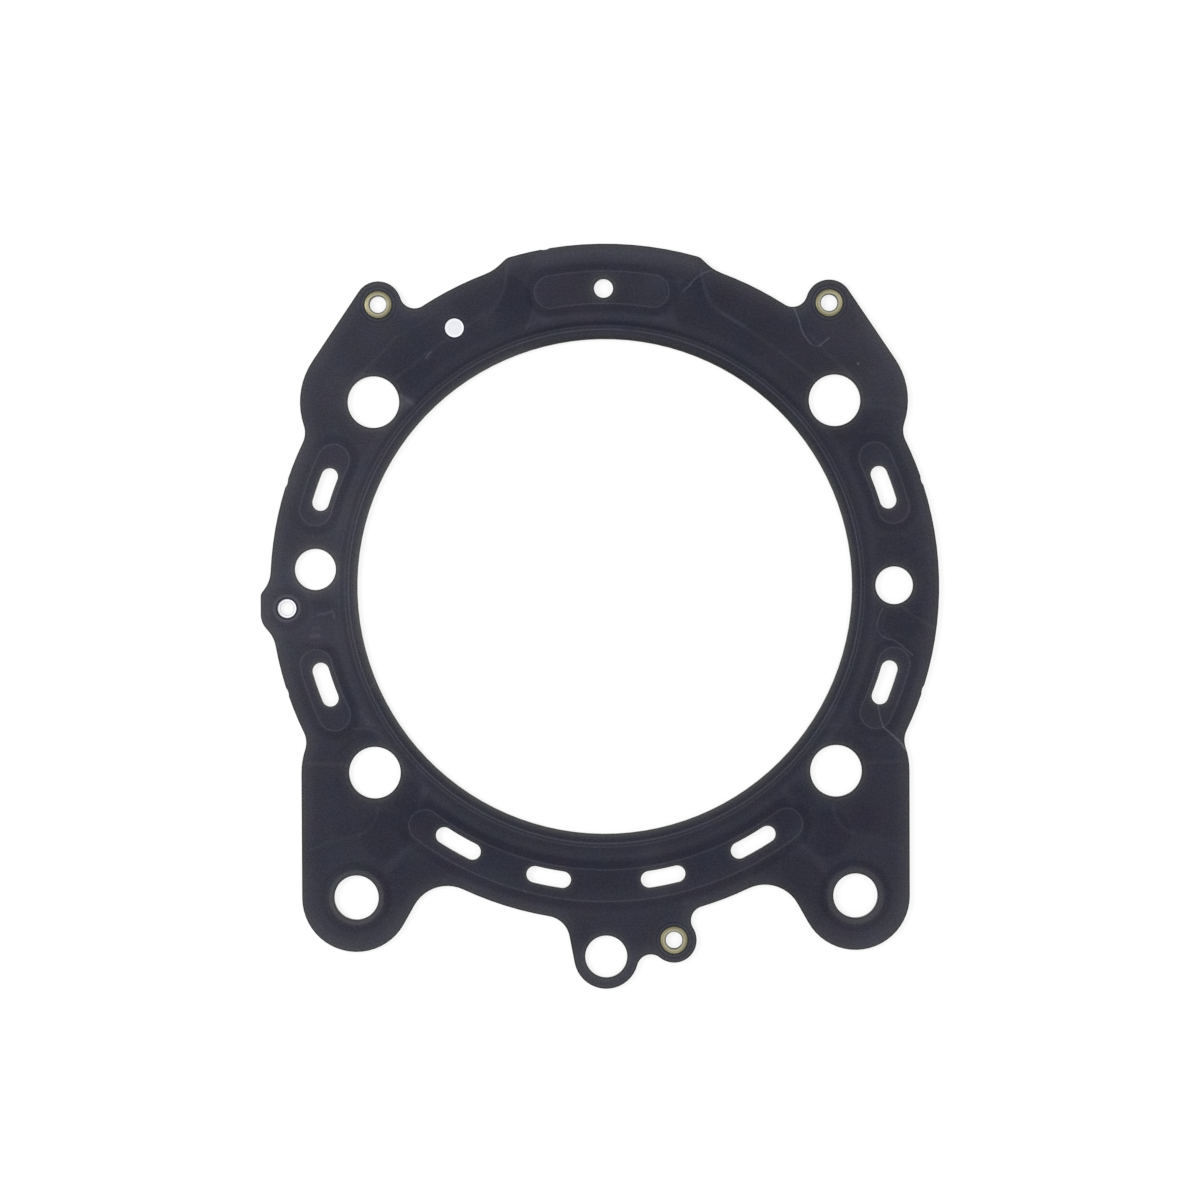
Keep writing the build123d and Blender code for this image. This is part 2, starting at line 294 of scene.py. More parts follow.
def makeSheetPlace():
    # in millimetres with its height left out: as it is, folded left over right, folded both ways over one
    # quarter, and its distance from the bore's axis and from the middle of the nearest eyelet
    tree, given, out = newGroup("sheetPlace", [("Place", vector, None)], list(placeLabels.items()))
    point = vectorCalc(tree, "MULTIPLY", given["Place"], (perMetre, perMetre, 0.0))
    quarter = vectorCalc(tree, "ABSOLUTE", point)
    upright = vectorCalc(tree, "MULTIPLY", point, (0.0, 1.0, 0.0))
    folded = vectorCalc(tree, "MULTIPLY_ADD", quarter, (1.0, 0.0, 0.0), upright)
    feed(tree, out["Point"], point)
    feed(tree, out["Quarter"], quarter)
    feed(tree, out["Folded"], folded)
    feed(tree, out["Bore"], vectorCalc(tree, "LENGTH", point))
    upper = vectorCalc(tree, "DISTANCE", folded, at(*sheet["ear"]))
    lower = vectorCalc(tree, "DISTANCE", point, at(*sheet["lowerEar"]))
    feed(tree, out["Eyelets"], calc(tree, "MINIMUM", upper, lower))
    return tree


def placeOnSheet(tree):
    coordinate = addNode(tree, "ShaderNodeTexCoord").outputs["Object"]
    found = useGroup(tree, sheetPlace, Place=coordinate)
    return {label: found[label] for label in placeLabels}


sheetPlace = makeSheetPlace()
arcEdge = makeArcEdge()
straightEdge = makeStraightEdge()
curvedSlot = makeCurvedSlot()
stroke = makeStroke()
softBand = makeSoftBand()
softStep = makeSoftStep()


# The sheet's outline, as a belt round discs: a negative radius is a hollow corner

def between(first, firstReach, second, secondReach, side):
    dx, dy = second[0] - first[0], second[1] - first[1]
    span = math.hypot(dx, dy)
    along = (firstReach ** 2 - secondReach ** 2 + span ** 2) / (2 * span)
    across = side * math.sqrt(max(firstReach ** 2 - along ** 2, 0))
    return (first[0] + (along * dx - across * dy) / span, first[1] + (along * dy + across * dx) / span)


def rootBeside(body, radius, side, flank=0.0):
    ring = (0.0, 0.0)
    reach = math.hypot(body[2] + radius, flank)
    return (*between(ring, sheet["ringRadius"] + radius, body, reach, side), -radius)


def outlineDiscs():
    flip = lambda disc: (disc[0], -disc[1], disc[2])
    turn = lambda disc: (-disc[0], disc[1], disc[2])
    ring = (0.0, 0.0, sheet["ringRadius"])
    pad = (*sheet["stud"], sheet["studPad"])
    ear = (*sheet["ear"], sheet["earRadius"])
    lobe = (*sheet["lobe"], sheet["lobeRadius"])
    tab = (*sheet["tab"], sheet["tabRadius"])
    lowerEar = (*sheet["lowerEar"], sheet["lowerEarRadius"])
    cornerReach = sheet["topArcRadius"] - sheet["topArcRounding"]
    cornerAngle = math.radians(90 - sheet["topArcHalfAngle"])
    shoulder = (cornerReach * math.cos(cornerAngle), cornerReach * math.sin(cornerAngle), sheet["topArcRounding"])
    bossUpper = (1.60 - sheet["bossSide"], -2.00, 1.60)
    bossLower = (4.80 - sheet["bossSide"], -6.10, 4.80)
    padWaist = rootBeside(pad, sheet["padRoot"], -1)
    earWaist = rootBeside(ear, sheet["earRoot"], 1)
    shoulderWaist = rootBeside(shoulder, 10.0, -1, 1.7)
    lobeWaist = rootBeside(turn(lobe), sheet["lobeRoot"], 1, sheet["lobeFlank"])
    tabWaist = rootBeside(tab, sheet["tabRoot"], -1, sheet["tabFlank"])
    webRoot = sheet["tabWebRoot"]
    tabWeb = (*between(tab, tab[2] + webRoot, lowerEar, lowerEar[2] + webRoot, -1), -webRoot)
    lowerEarWaist = rootBeside(lowerEar, sheet["lowerEarRoot"], 1)
    bossUpperWaist = rootBeside(bossUpper, 7.0, -1, 0.9)
    bossLowerWaist = rootBeside(bossLower, 7.0, 1, 0.9)
    topArc = (0.0, 0.0, sheet["topArcRadius"])
    return [
        padWaist, pad, ear, earWaist, ring,
        shoulderWaist, shoulder, topArc, turn(shoulder), turn(shoulderWaist), ring,
        turn(earWaist), turn(ear), turn(pad), turn(padWaist),
        ring, bossUpperWaist, bossUpper, bossLower, bossLowerWaist, ring,
        turn(flip(padWaist)), turn(flip(pad)), turn(lobe), lobeWaist, ring,
        tabWaist, tab, tabWeb, lowerEar, lowerEarWaist, ring,
        turn(lobeWaist), lobe, flip(pad), flip(padWaist), ring,
    ]


def beltEdges(discs):
    runs = []
    for first, second in zip(discs, discs[1:] + discs[:1]):
        dx, dy = second[0] - first[0], second[1] - first[1]
        lean = (first[2] - second[2]) / math.hypot(dx, dy)
        lean = round(lean) if abs(lean) > 1 - 1e-9 else lean
        facing = math.atan2(dy, dx) - math.acos(lean)
        runs.append([(d[0] + d[2] * math.cos(facing), d[1] + d[2] * math.sin(facing)) for d in (first, second)])
    edges = []
    for index, (x, y, radius) in enumerate(discs):
        begin, end = runs[index - 1][1], runs[index][0]
        start = math.atan2(begin[1] - y, begin[0] - x)
        stop = math.atan2(end[1] - y, end[0] - x)
        sweep = (stop - start) % (2 * math.pi) if radius > 0 else -((start - stop) % (2 * math.pi))
        middle = start + sweep / 2
        edges.append(("arc", x, y, abs(radius), math.cos(middle), math.sin(middle), math.cos(abs(sweep) / 2)))
        dx, dy = runs[index][1][0] - end[0], runs[index][1][1] - end[1]
        length = math.hypot(dx, dy)
        if length > 0.02:
            edges.append(("line", end[0], end[1], dx / length, dy / length, length))
    return edges


def isMirrorOf(edge, other):
    if edge[0] != other[0]:
        return False
    if edge[0] == "arc":
        turned = (-edge[1], edge[2], edge[3], -edge[4], edge[5], edge[6])
    else:
        turned = (-(edge[1] + edge[3] * edge[5]), edge[2] + edge[4] * edge[5], edge[3], -edge[4], edge[5])
    return all(abs(a - b) < 0.02 for a, b in zip(turned, other[1:]))


def makeSheetEdges():
    # how far a point is from the sheet's outline, and from the nearest hole but the bore, window and sight hole
    tree, given, out = newGroup("sheetEdges", placeInputs, [("Outline", number), ("Holes", number)])
    point, folded = given["Point"], given["Folded"]
    feed(tree, out["Outline"], nearestOf(tree, outlineGaps(tree, point, folded)))
    feed(tree, out["Holes"], nearestOf(tree, holeGaps(tree, given)))
    return tree


def outlineGaps(tree, point, folded):
    edges = beltEdges(outlineDiscs())
    for edge in edges:
        twin = any(isMirrorOf(edge, other) for other in edges if other is not edge)
        middleX = edge[1] + (edge[4] * edge[3] if edge[0] == "arc" else edge[3] * edge[5] / 2)
        if twin and middleX < 0:
            continue
        place = folded if twin else point
        if edge[0] == "arc":
            yield useGroup(tree, arcEdge, Point=place, Centre=at(edge[1], edge[2]), Radius=edge[3],
                           Facing=at(edge[4], edge[5]), Opening=edge[6])["Distance"]
        else:
            yield useGroup(tree, straightEdge, Point=place, Start=at(edge[1], edge[2]),
                           Along=at(edge[3], edge[4]), Length=edge[5])["Distance"]


def holeGaps(tree, given):
    point, folded = given["Point"], given["Folded"]
    rounds = [
        (given["Quarter"], (*sheet["stud"], sheet["studHole"])),
        (folded, (*sheet["lobe"], sheet["lobeHole"])),
        (point, (*sheet["tab"], sheet["tabHole"])),
        (point, sheet["leftHole"]), (point, sheet["rightHole"]), (point, sheet["vent"]),
    ]
    for place, (x, y, radius) in rounds:
        yield calc(tree, "SUBTRACT", vectorCalc(tree, "DISTANCE", place, at(x, y)), radius)
    for angle, length in sheet["slots"]:
        spread = (length / 2 - sheet["slotHalfWidth"]) / sheet["slotRadius"]
        gap = slotGap(tree, given, folded, sheet["slotRadius"], math.radians(angle), spread, sheet["slotHalfWidth"])
        yield calc(tree, "MULTIPLY", gap, sheet["slotNarrowing"])


def slotGap(tree, given, place, radius, middle, spread, half):
    return useGroup(tree, curvedSlot, Point=place, Bore=given["Bore"], Radius=radius, Middle=middle,
                    Spread=spread, **{"Half Width": half})["Distance"]


sheetEdges = makeSheetEdges()
print("outline laid out:", len(sheetEdges.nodes), "nodes")


# Tones are written as on a 0 to 255 display scale, as steps above or below the coat's own tone
displaySteps = 255.0
displayGamma = 2.2


def addUp(tree, values):
    # the values are made one by one as they are added, so that few of them wait in memory: a value, or a
    # mask with its strength
    total = None
    for value in values:
        if isinstance(value, tuple):
            total = calc(tree, "MULTIPLY_ADD", *value, 0.0 if total is None else total)
        else:
            total = value if total is None else calc(tree, "ADD", total, value)
    return total


def bandTerm(tree, distance, middle, width, strength):
    return useGroup(tree, softBand, Distance=distance, Middle=middle, Width=width)["Mask"], strength


def band(tree, distance, middle, width, strength):
    return calc(tree, "MULTIPLY", *bandTerm(tree, distance, middle, width, strength))


def within(tree, distance, limit, width):
    return useGroup(tree, softStep, Distance=distance, Limit=limit, Width=width)["Mask"]


def toneProfile(tree, distance, reach, stops, deepest=20.0, highest=30.0):
    # a tone that follows a distance: stops are (distance, steps of tone)
    share = calc(tree, "DIVIDE", calc(tree, "SUBTRACT", distance, reach[0]), reach[1] - reach[0])
    span = deepest + highest
    placed = [((d - reach[0]) / (reach[1] - reach[0]), (tone + deepest) / span) for d, tone in stops]
    made = addNode(tree, "ShaderNodeFloatCurve")
    curve = made.mapping.curves[0]
    while len(curve.points) < len(placed):
        curve.points.new(0.5, 0.5)
    for spot, (place, tone) in zip(curve.points, placed):
        spot.location = (place, tone)
        spot.handle_type = "AUTO_CLAMPED"
    made.mapping.extend = "HORIZONTAL"
    made.mapping.update()
    feed(tree, made.inputs["Value"], share)
    return calc(tree, "MULTIPLY_ADD", made.outputs[0], span, -deepest)


# The full bead round the bore, from the worn land outwards, in painted light and shade: painted highlights on its two
# lines, which are a little oval, and painted shade on its slopes. In the shaded sector the land keeps no paler wear
# and the outer slope gets more painted shade; in the lit sector one slope gets a painted highlight and the other more
# painted shade.
boreBead = {
    "reach": (56.3, 64.2),
    "land": [(56.3, 12), (56.55, 14), (56.85, 18), (57.1, 14), (57.4, 7), (57.7, 2.5), (58.0, 0), (64.2, 0)],
    "tone": [(56.3, 0), (57.7, 0), (58.15, -3), (58.5, 0), (58.95, -1), (59.2, 0), (59.7, -2), (60.0, -2.5),
             (60.6, -1.5), (61.0, 0.5), (61.3, 1.5), (61.8, 2.5), (62.4, 2.5), (62.8, 1), (63.2, 0), (64.2, 0)],
    "oval": (1.0015, 0.9985),
    "lines": [(58.62, 0.16, 18.0), (59.42, 0.14, 10.0)],
    "lineBreak": ((5.9, 59.0), 1.3, -0.7),
    "shaded": (72.0, 0.825, 0.12),
    "shadedTone": (60.15, 0.65, -4.5),
    "lit": (140.0, 0.42, 0.30),
    "litTones": [(57.9, 0.55, 5.0), (60.05, 0.50, -4.0)],
}

# The top island's painted highlight line is doubled at its ends
doubledLine = {"middle": -1.0, "width": 0.16, "tone": 4.0, "from": 11.5}

# Painted light: a paler rim along the raised top arc
topRim = {"middle": 75.9, "width": 1.9, "tone": 7.5, "centre": 2.3, "reach": 19.3, "softness": 3.0}

# Half-beads: a painted highlight line on the crest, painted shade on the slope outside it and a faint foot
islandBead = {
    "reach": (-1.5, 3.5),
    "tone": [(-1.5, 0), (-0.6, 0), (-0.15, 0), (0.25, -3.5), (0.6, -4.5), (1.1, -4.5), (1.5, -4), (1.9, -2.5),
             (2.3, -0.5), (2.7, 0.5), (3.5, 0)],
    "line": (-0.15, 0.17, 12.0),
    "islands": [("Quarter", 15.10, 25.20, 0.0), ("Folded", -127.20, -52.80, 0.0), ("Point", 80.50, 100.2, -0.10)],
}

# Round each lobe's hole: a painted highlight ring on the bead's crest and painted shade on its slope
lobeBead = {
    "reach": (5.0, 9.0),
    "tone": [(5.0, 0), (5.5, 2), (5.8, 4), (6.1, 5), (6.35, 7), (6.55, 1), (6.8, -4.5), (7.3, -5), (7.9, -4.5),
             (8.2, -2.5), (8.5, 0), (9.0, 0.5)],
    "leftInset": 0.25,
}

# Round the sight hole: painted shade at its edge, a painted highlight ring on the bead's crest and faint painted
# shade on its slope
sightBead = {
    "reach": (2.1, 7.0),
    "tone": [(2.1, -6), (2.35, -14), (2.55, 4), (2.75, 17), (3.0, 14), (3.25, 4), (3.5, -1), (4.3, -1.5),
             (4.7, -1), (5.0, 0), (5.5, 1.5), (5.9, 2), (6.5, 0), (7.0, 0)],
}

# The window's own pressed rim: painted shade at its edge and a faint painted highlight beside it
windowRim = {
    "reach": (2.1, 4.0),
    "tone": [(2.1, -6), (2.35, -9), (2.55, 2), (2.75, 4), (3.0, 3), (3.3, 0), (4.0, 0)],
}

# Round each eyelet: painted shadow by its lip, then a painted highlight and painted shade on the ring where the lip
# was pressed down
eyeletSeat = {
    "reach": (3.0, 5.0),
    "tone": [(3.0, -5), (3.3, -3), (3.45, 1), (3.65, 10), (3.8, 4), (3.95, -4), (4.1, -4), (4.25, 0),
             (4.45, 3), (4.7, 2), (5.0, 0)],
}

# Rubbed margins, lighter and greyer towards a cut edge
margins = {
    "outline": [(0.0, -4), (0.15, 2), (0.35, 12), (0.6, 13), (0.9, 9.5), (1.3, 8), (1.8, 6.5), (2.2, 5),
                (2.6, 3), (3.2, 1.5), (4.5, 0)],
    "holes": [(0.0, 2), (0.2, 6), (0.32, 10), (0.5, 14), (0.9, 8), (1.3, 4.5), (1.8, 3), (2.3, 1.2), (3.2, 0),
              (4.5, 0)],
    "reach": (0.0, 4.5),
    "land": (0.75, 0.8),
    "seat": (3.6, 0.6),
}


def makeMargins():
    tree, given, out = newGroup("margins", placeInputs, [("Tone", number), ("Wear", number)])
    edges = useGroup(tree, sheetEdges, **{label: given[label] for label in placeLabels})
    rim = toneProfile(tree, edges["Outline"], margins["reach"], margins["outline"])
    holes = toneProfile(tree, edges["Holes"], margins["reach"], margins["holes"])
    feed(tree, out["Tone"], calc(tree, "ADD", rim, holes))
    closest = calc(tree, "MINIMUM", edges["Outline"], edges["Holes"])
    bore = calc(tree, "SUBTRACT", given["Bore"], sheet["boreRadius"])
    closest = calc(tree, "MINIMUM", closest, bore)
    wear = calc(tree, "EXPONENT", calc(tree, "MULTIPLY", closest, -1.0))
    land = within(tree, bore, *margins["land"])
    seat = within(tree, given["Eyelets"], *margins["seat"])
    feed(tree, out["Wear"], calc(tree, "MAXIMUM", wear, calc(tree, "MAXIMUM", land, seat)))
    return tree


def sector(tree, point, reach, angle, limit, softness):
    # 1 towards an angle round the bore: the limit is a cosine
    facing = at(math.cos(math.radians(angle)), math.sin(math.radians(angle)))
    ahead = calc(tree, "DIVIDE", vectorCalc(tree, "DOT_PRODUCT", point, facing), reach)
    return within(tree, calc(tree, "MULTIPLY", ahead, -1.0), -limit, softness)


def boreTones(tree, given):
    point, bore = given["Point"], given["Bore"]
    # painted shade on the bead's slopes and painted highlights at its bends
    yield toneProfile(tree, bore, boreBead["reach"], boreBead["tone"])
    # painted highlights on the bead's two lines, broken a little in one place
    oval = vectorCalc(tree, "LENGTH", vectorCalc(tree, "MULTIPLY", point, (*boreBead["oval"], 0.0)))
    lines = addUp(tree, (bandTerm(tree, oval, *line) for line in boreBead["lines"]))
    middle, reach, strength = boreBead["lineBreak"]
    broken = band(tree, vectorCalc(tree, "DISTANCE", point, at(*middle)), 0.0, reach, strength)
    yield lines, calc(tree, "ADD", broken, 1.0)
    # painted shade on the side of the bore away from the light: there the land's paler wear is left out and the outer
    # slope is darker
    shaded = sector(tree, point, bore, *boreBead["shaded"])
    land = toneProfile(tree, bore, boreBead["reach"], boreBead["land"])
    yield land, calc(tree, "SUBTRACT", 1.0, shaded)
    yield shaded, band(tree, bore, *boreBead["shadedTone"])
    # on the lit side, a painted highlight on the inner slope and painted shade on the outer one
    slopes = addUp(tree, (bandTerm(tree, bore, *slope) for slope in boreBead["litTones"]))
    yield slopes, sector(tree, point, bore, *boreBead["lit"])
    # painted light: a paler rim along the top arc
    aside = vectorCalc(tree, "DOT_PRODUCT", point, (1.0, 0.0, 0.0))
    offCentre = calc(tree, "ABSOLUTE", calc(tree, "SUBTRACT", aside, topRim["centre"]))
    above = calc(tree, "GREATER_THAN", vectorCalc(tree, "DOT_PRODUCT", point, (0.0, 1.0, 0.0)), 0.0)
    rimPlace = calc(tree, "MULTIPLY", within(tree, offCentre, topRim["reach"], topRim["softness"]), above)
    yield rimPlace, band(tree, bore, topRim["middle"], topRim["width"], topRim["tone"])


def islandTones(tree, given):
    point = given["Point"]
    # painted shade on each half-bead's slope and a painted highlight line on its crest
    for place, start, end, inset in islandBead["islands"]:
        edge = slotGap(tree, given, given[place], sheet["islandRadius"], math.radians((start + end) / 2),
                       math.radians((end - start) / 2), sheet["islandHalfWidth"])
        yield toneProfile(tree, calc(tree, "SUBTRACT", edge, inset), islandBead["reach"], islandBead["tone"])
        middle, width, strength = islandBead["line"]
        yield bandTerm(tree, edge, middle - inset, width, strength)
    # the last island is the top one
    aside = vectorCalc(tree, "DOT_PRODUCT", point, (1.0, 0.0, 0.0))
    # a second painted highlight line at the top island's ends
    second = band(tree, edge, doubledLine["middle"], doubledLine["width"], doubledLine["tone"])
    yield second, calc(tree, "GREATER_THAN", aside, doubledLine["from"])


def roundTones(tree, given):
    point = given["Point"]
    # painted highlights and painted shade round the lobes' holes, the sight hole, the window and the eyelets
    lobe = vectorCalc(tree, "DISTANCE", given["Folded"], at(*sheet["lobe"]))
    leftSide = calc(tree, "LESS_THAN", vectorCalc(tree, "DOT_PRODUCT", point, (1.0, 0.0, 0.0)), 0.0)
    lobe = calc(tree, "MULTIPLY_ADD", leftSide, lobeBead["leftInset"], lobe)
    yield toneProfile(tree, lobe, lobeBead["reach"], lobeBead["tone"])
    sight = vectorCalc(tree, "DISTANCE", point, at(*sheet["sight"][:2]))
    yield toneProfile(tree, sight, sightBead["reach"], sightBead["tone"])
    window = vectorCalc(tree, "DISTANCE", point, at(*sheet["window"][:2]))
    yield toneProfile(tree, window, windowRim["reach"], windowRim["tone"])
    yield toneProfile(tree, given["Eyelets"], eyeletSeat["reach"], eyeletSeat["tone"])


def makeBeadShading():
    # painted light and shade of the beads, with the land's paler wear
    tree, given, out = newGroup("beads", placeInputs, [("Tone", number)])
    parts = (addUp(tree, tones(tree, given)) for tones in (boreTones, islandTones, roundTones))
    feed(tree, out["Tone"], addUp(tree, parts))
    return tree


# Painted highlights along soft pressed lines, the same on both sides of the part, and those on one side. Each set is
# (width, tone, runs): a run of points is straight between them. An arc is (centre, radius, first angle, last angle).
pressedLineHighlights = {
    "fading": (0.16, 2.0, -0.15),
    "bothSides": [
        (0.40, 7.0, [[(47.5, 47.8), (41.0, 52.8), (34.2, 57.8), (27.3, 62.1)], [(59.2, -40.5), (68.2, -40.1)],
                     [(56.4, 48.0), (52.0, 52.1), (47.5, 57.0)]]),
        (0.40, 4.0, [[(56.4, -56.6), (61.8, -57.7), (67.4, -59.8)]]),
    ],
    "bothSidesArcs": (0.40, 7.0, [((58.8, -50.2), 6.8, 178.0, 251.0)]),
    "oneSide": [
        (0.38, 7.0, [[(-22.0, 73.9), (-22.1, 71.2), (-22.5, 68.7), (-23.4, 66.1), (-24.6, 63.9), (-25.6, 62.8)],
                     [(22.4, 72.2), (22.7, 69.6), (23.2, 67.6), (24.2, 64.8)],
                     [(68.3, -5.3), (71.3, -7.6), (75.4, -9.9)]]),
        (0.55, 6.5, [[(25.0, 63.9), (27.0, 62.3), (29.3, 60.9), (32.0, 59.3)]]),
        (0.75, 4.0, [[(-25.8, 62.4), (-28.4, 60.6)], [(60.3, 42.4), (67.6, 42.5)]]),
        (0.50, 5.0, [[(59.4, 40.6), (63.3, 40.9), (67.4, 40.0)], [(68.2, 5.0), (70.9, 6.8), (73.9, 8.4)]]),
        (0.45, 4.0, [[(-47.7, 57.2), (-41.6, 60.2), (-37.9, 63.4)]]),
    ],
    "steady": [
        (0.24, 13.0, [[(-65.5, -6.2), (-63.6, -5.9), (-62.3, -5.35), (-61.9, -5.8), (-61.8, -6.8)]]),
        (0.30, 5.0, [[(-57.8, -32.3), (-54.8, -32.1), (-52.3, -32.8), (-50.5, -34.4)],
                     [(53.6, -31.9), (51.4, -32.0), (49.9, -32.5)],
                     [(-67.0, -12.6), (-64.7, -12.6)], [(-16.1, 63.6), (-16.8, 60.9), (-17.5, 59.1)],
                     [(14.7, 69.9), (16.3, 69.4), (17.9, 69.7), (19.7, 69.0)]]),
    ],
}

# Scratches: (width, tone, run of points), with the scale and reach of their unevenness
scratchWobble = (1.2, 0.25)
scratches = [
    (0.17, 24.0, [(18.1, 67.3), (18.9, 68.0), (19.75, 68.75), (20.6, 69.9), (21.35, 70.5)]),
    (0.14, 18.0, [(21.35, 70.5), (22.7, 71.4), (24.1, 71.9), (25.1, 72.25)]),
    (0.18, 27.0, [(43.4, 63.4), (43.7, 62.9), (44.6, 60.6), (45.05, 58.8), (45.7, 57.2), (46.6, 56.05),
                  (47.3, 55.2)]),
    (0.16, 15.0, [(47.3, 55.2), (48.1, 54.8), (49.1, 54.65)]),
    (0.18, 25.0, [(49.1, 54.65), (50.3, 55.6), (51.4, 56.5)]),
    (0.16, 19.0, [(63.5, -5.2), (62.8, -6.55), (62.35, -7.9), (62.1, -9.3)]),
    (0.16, 11.0, [(62.1, -9.3), (62.4, -10.4), (63.2, -11.55)]),
    (0.17, 20.0, [(63.2, -11.55), (64.6, -12.25), (65.75, -12.5), (67.3, -13.4), (68.9, -14.8), (70.3, -15.95)]),
    (0.14, 7.0, [(64.2, -6.0), (63.4, -8.0), (63.2, -9.8), (64.2, -11.3), (65.4, -11.9)]),
    (0.17, 22.0, [(62.25, -27.5), (62.5, -29.1), (62.9, -30.7), (63.4, -32.3)]),
    (0.21, 31.0, [(63.4, -32.3), (65.0, -33.7), (66.55, -35.1), (67.9, -36.5), (68.4, -37.4)]),
    (0.15, 24.0, [(-40.7, 52.2), (-40.1, 52.9), (-39.4, 53.7)]),
    (0.12, 14.0, [(-40.2, 52.0), (-39.5, 52.7)]),
    (0.15, 16.0, [(-53.6, -22.9), (-52.6, -21.8)]),
]


def strokeGaps(tree, point, lines):
    for line in lines:
        for (x, y), (endX, endY) in zip(line, line[1:]):
            along = (endX - x, endY - y, 0.0)
            yield useGroup(tree, stroke, Point=point, Start=at(x, y), Along=along,
                           Share=1.0 / (along[0] ** 2 + along[1] ** 2))["Distance"]


def arcGaps(tree, point, arcs):
    for (x, y), radius, first, last in arcs:
        middle, half = math.radians((first + last) / 2), math.radians((last - first) / 2)
        yield useGroup(tree, arcEdge, Point=point, Centre=at(x, y), Radius=radius,
                       Facing=at(math.cos(middle), math.sin(middle)), Opening=math.cos(half))["Distance"]


def makePressedLineHighlights():
    # painted highlights on lines that fade here and there along their length, and on a few that don't
    tree, given, out = newGroup("pressedLineHighlights", placeInputs, [("Tone", number)])
    folded = given["Folded"]
    width, tone, arcs = pressedLineHighlights["bothSidesArcs"]
    fading = band(tree, nearestOf(tree, arcGaps(tree, folded, arcs)), 0.0, width, tone)
    for place, sets in ((folded, pressedLineHighlights["bothSides"]), (given["Point"], pressedLineHighlights["oneSide"])):
        fading = calc(tree, "ADD", fading, addUp(tree, setTones(tree, place, sets)))
    scale, gain, offset = pressedLineHighlights["fading"]
    share = clamped(tree, calc(tree, "MULTIPLY_ADD", noise(tree, given["Point"], scale)[0], gain, offset))
    steady = addUp(tree, setTones(tree, given["Point"], pressedLineHighlights["steady"]))
    feed(tree, out["Tone"], calc(tree, "MULTIPLY_ADD", fading, share, steady))
    return tree


def setTones(tree, place, sets):
    for width, tone, runs in sets:
        yield bandTerm(tree, nearestOf(tree, strokeGaps(tree, place, runs)), 0.0, width, tone)


def makeScratches():
    tree, given, out = newGroup("scratches", placeInputs, [("Tone", number)])
    scale, reach = scratchWobble
    shift = vectorCalc(tree, "SUBTRACT", noise(tree, given["Point"], scale)["Color"], (0.5, 0.5, 0.5))
    place = vectorCalc(tree, "MULTIPLY_ADD", shift, at(reach, reach), given["Point"])
    strongest = None
    for width, tone, run in scratches:
        mark = band(tree, nearestOf(tree, strokeGaps(tree, place, [run])), 0.0, width, tone)
        strongest = mark if strongest is None else calc(tree, "MAXIMUM", strongest, mark)
    feed(tree, out["Tone"], strongest)
    return tree


# Clamping zones: flats pressed a little lower, with painted shade on them and a clear edge. Each is a slot curved
# round the bore (radius, middle, spread, half width), or discs (x, y, reach), with a softness and a tone.
shadedClampZones = {
    "slot": ((68.3, 59.5, 10.5, 7.3), 0.8, -1.0),
    "bridgeEnd": ((34.2, 71.9), 12.2, 0.7, (20.3, 65.3), 8.5, -4.5),
    "discs": [((50.4, -56.6, 5.5), 0.8, -3.5), ((41.4, -71.2, 9.7), 0.9, -2.5)],
    "bottomBand": (65.5, -91.0, 42.0, 4.2, 4.0, -4.0),
    "byStuds": ((55.6, 37.7, 5.05), 0.8, -2.0),
    "rightHole": ([(66.3, 6.6), (67.0, -8.3)], 5.1, 0.8, -2.0),
}

# Small paler flats left between the zones and the beads: start, end, width and tone
flats = {
    "bothSides": [
        [(46.7, -60.4), (49.9, -64.3), 1.0, 4.5], [(46.2, -60.2), (43.0, -58.6), 0.9, 3.0],
        [(40.9, -46.3), (42.6, -49.6), 1.0, 4.5], [(15.4, 61.4), (12.2, 60.9), 0.9, 4.5],
    ],
    "oneSide": [
        [(-46.4, 43.8), (-43.7, 41.95), 0.45, 13.0], [(-45.9, 41.9), (-44.4, 41.9), 1.25, 11.0],
        [(-67.0, -11.1), (-65.4, -11.0), 0.55, 12.0], [(-66.7, -9.4), (-65.2, -9.4), 0.5, 6.0],
        [(-56.0, -28.6), (-54.2, -31.0), 1.2, 5.0], [(-54.2, -30.9), (-51.6, -32.0), 0.9, 4.0],
        [(52.2, -28.0), (51.2, -31.0), 1.1, 4.0], [(-42.2, -41.5), (-41.3, -46.6), 1.0, 4.0],
        [(-66.4, -3.9), (-62.4, -3.9), 1.1, -4.0], [(-66.9, -14.4), (-61.2, -14.0), 0.55, -4.0],
    ],
}
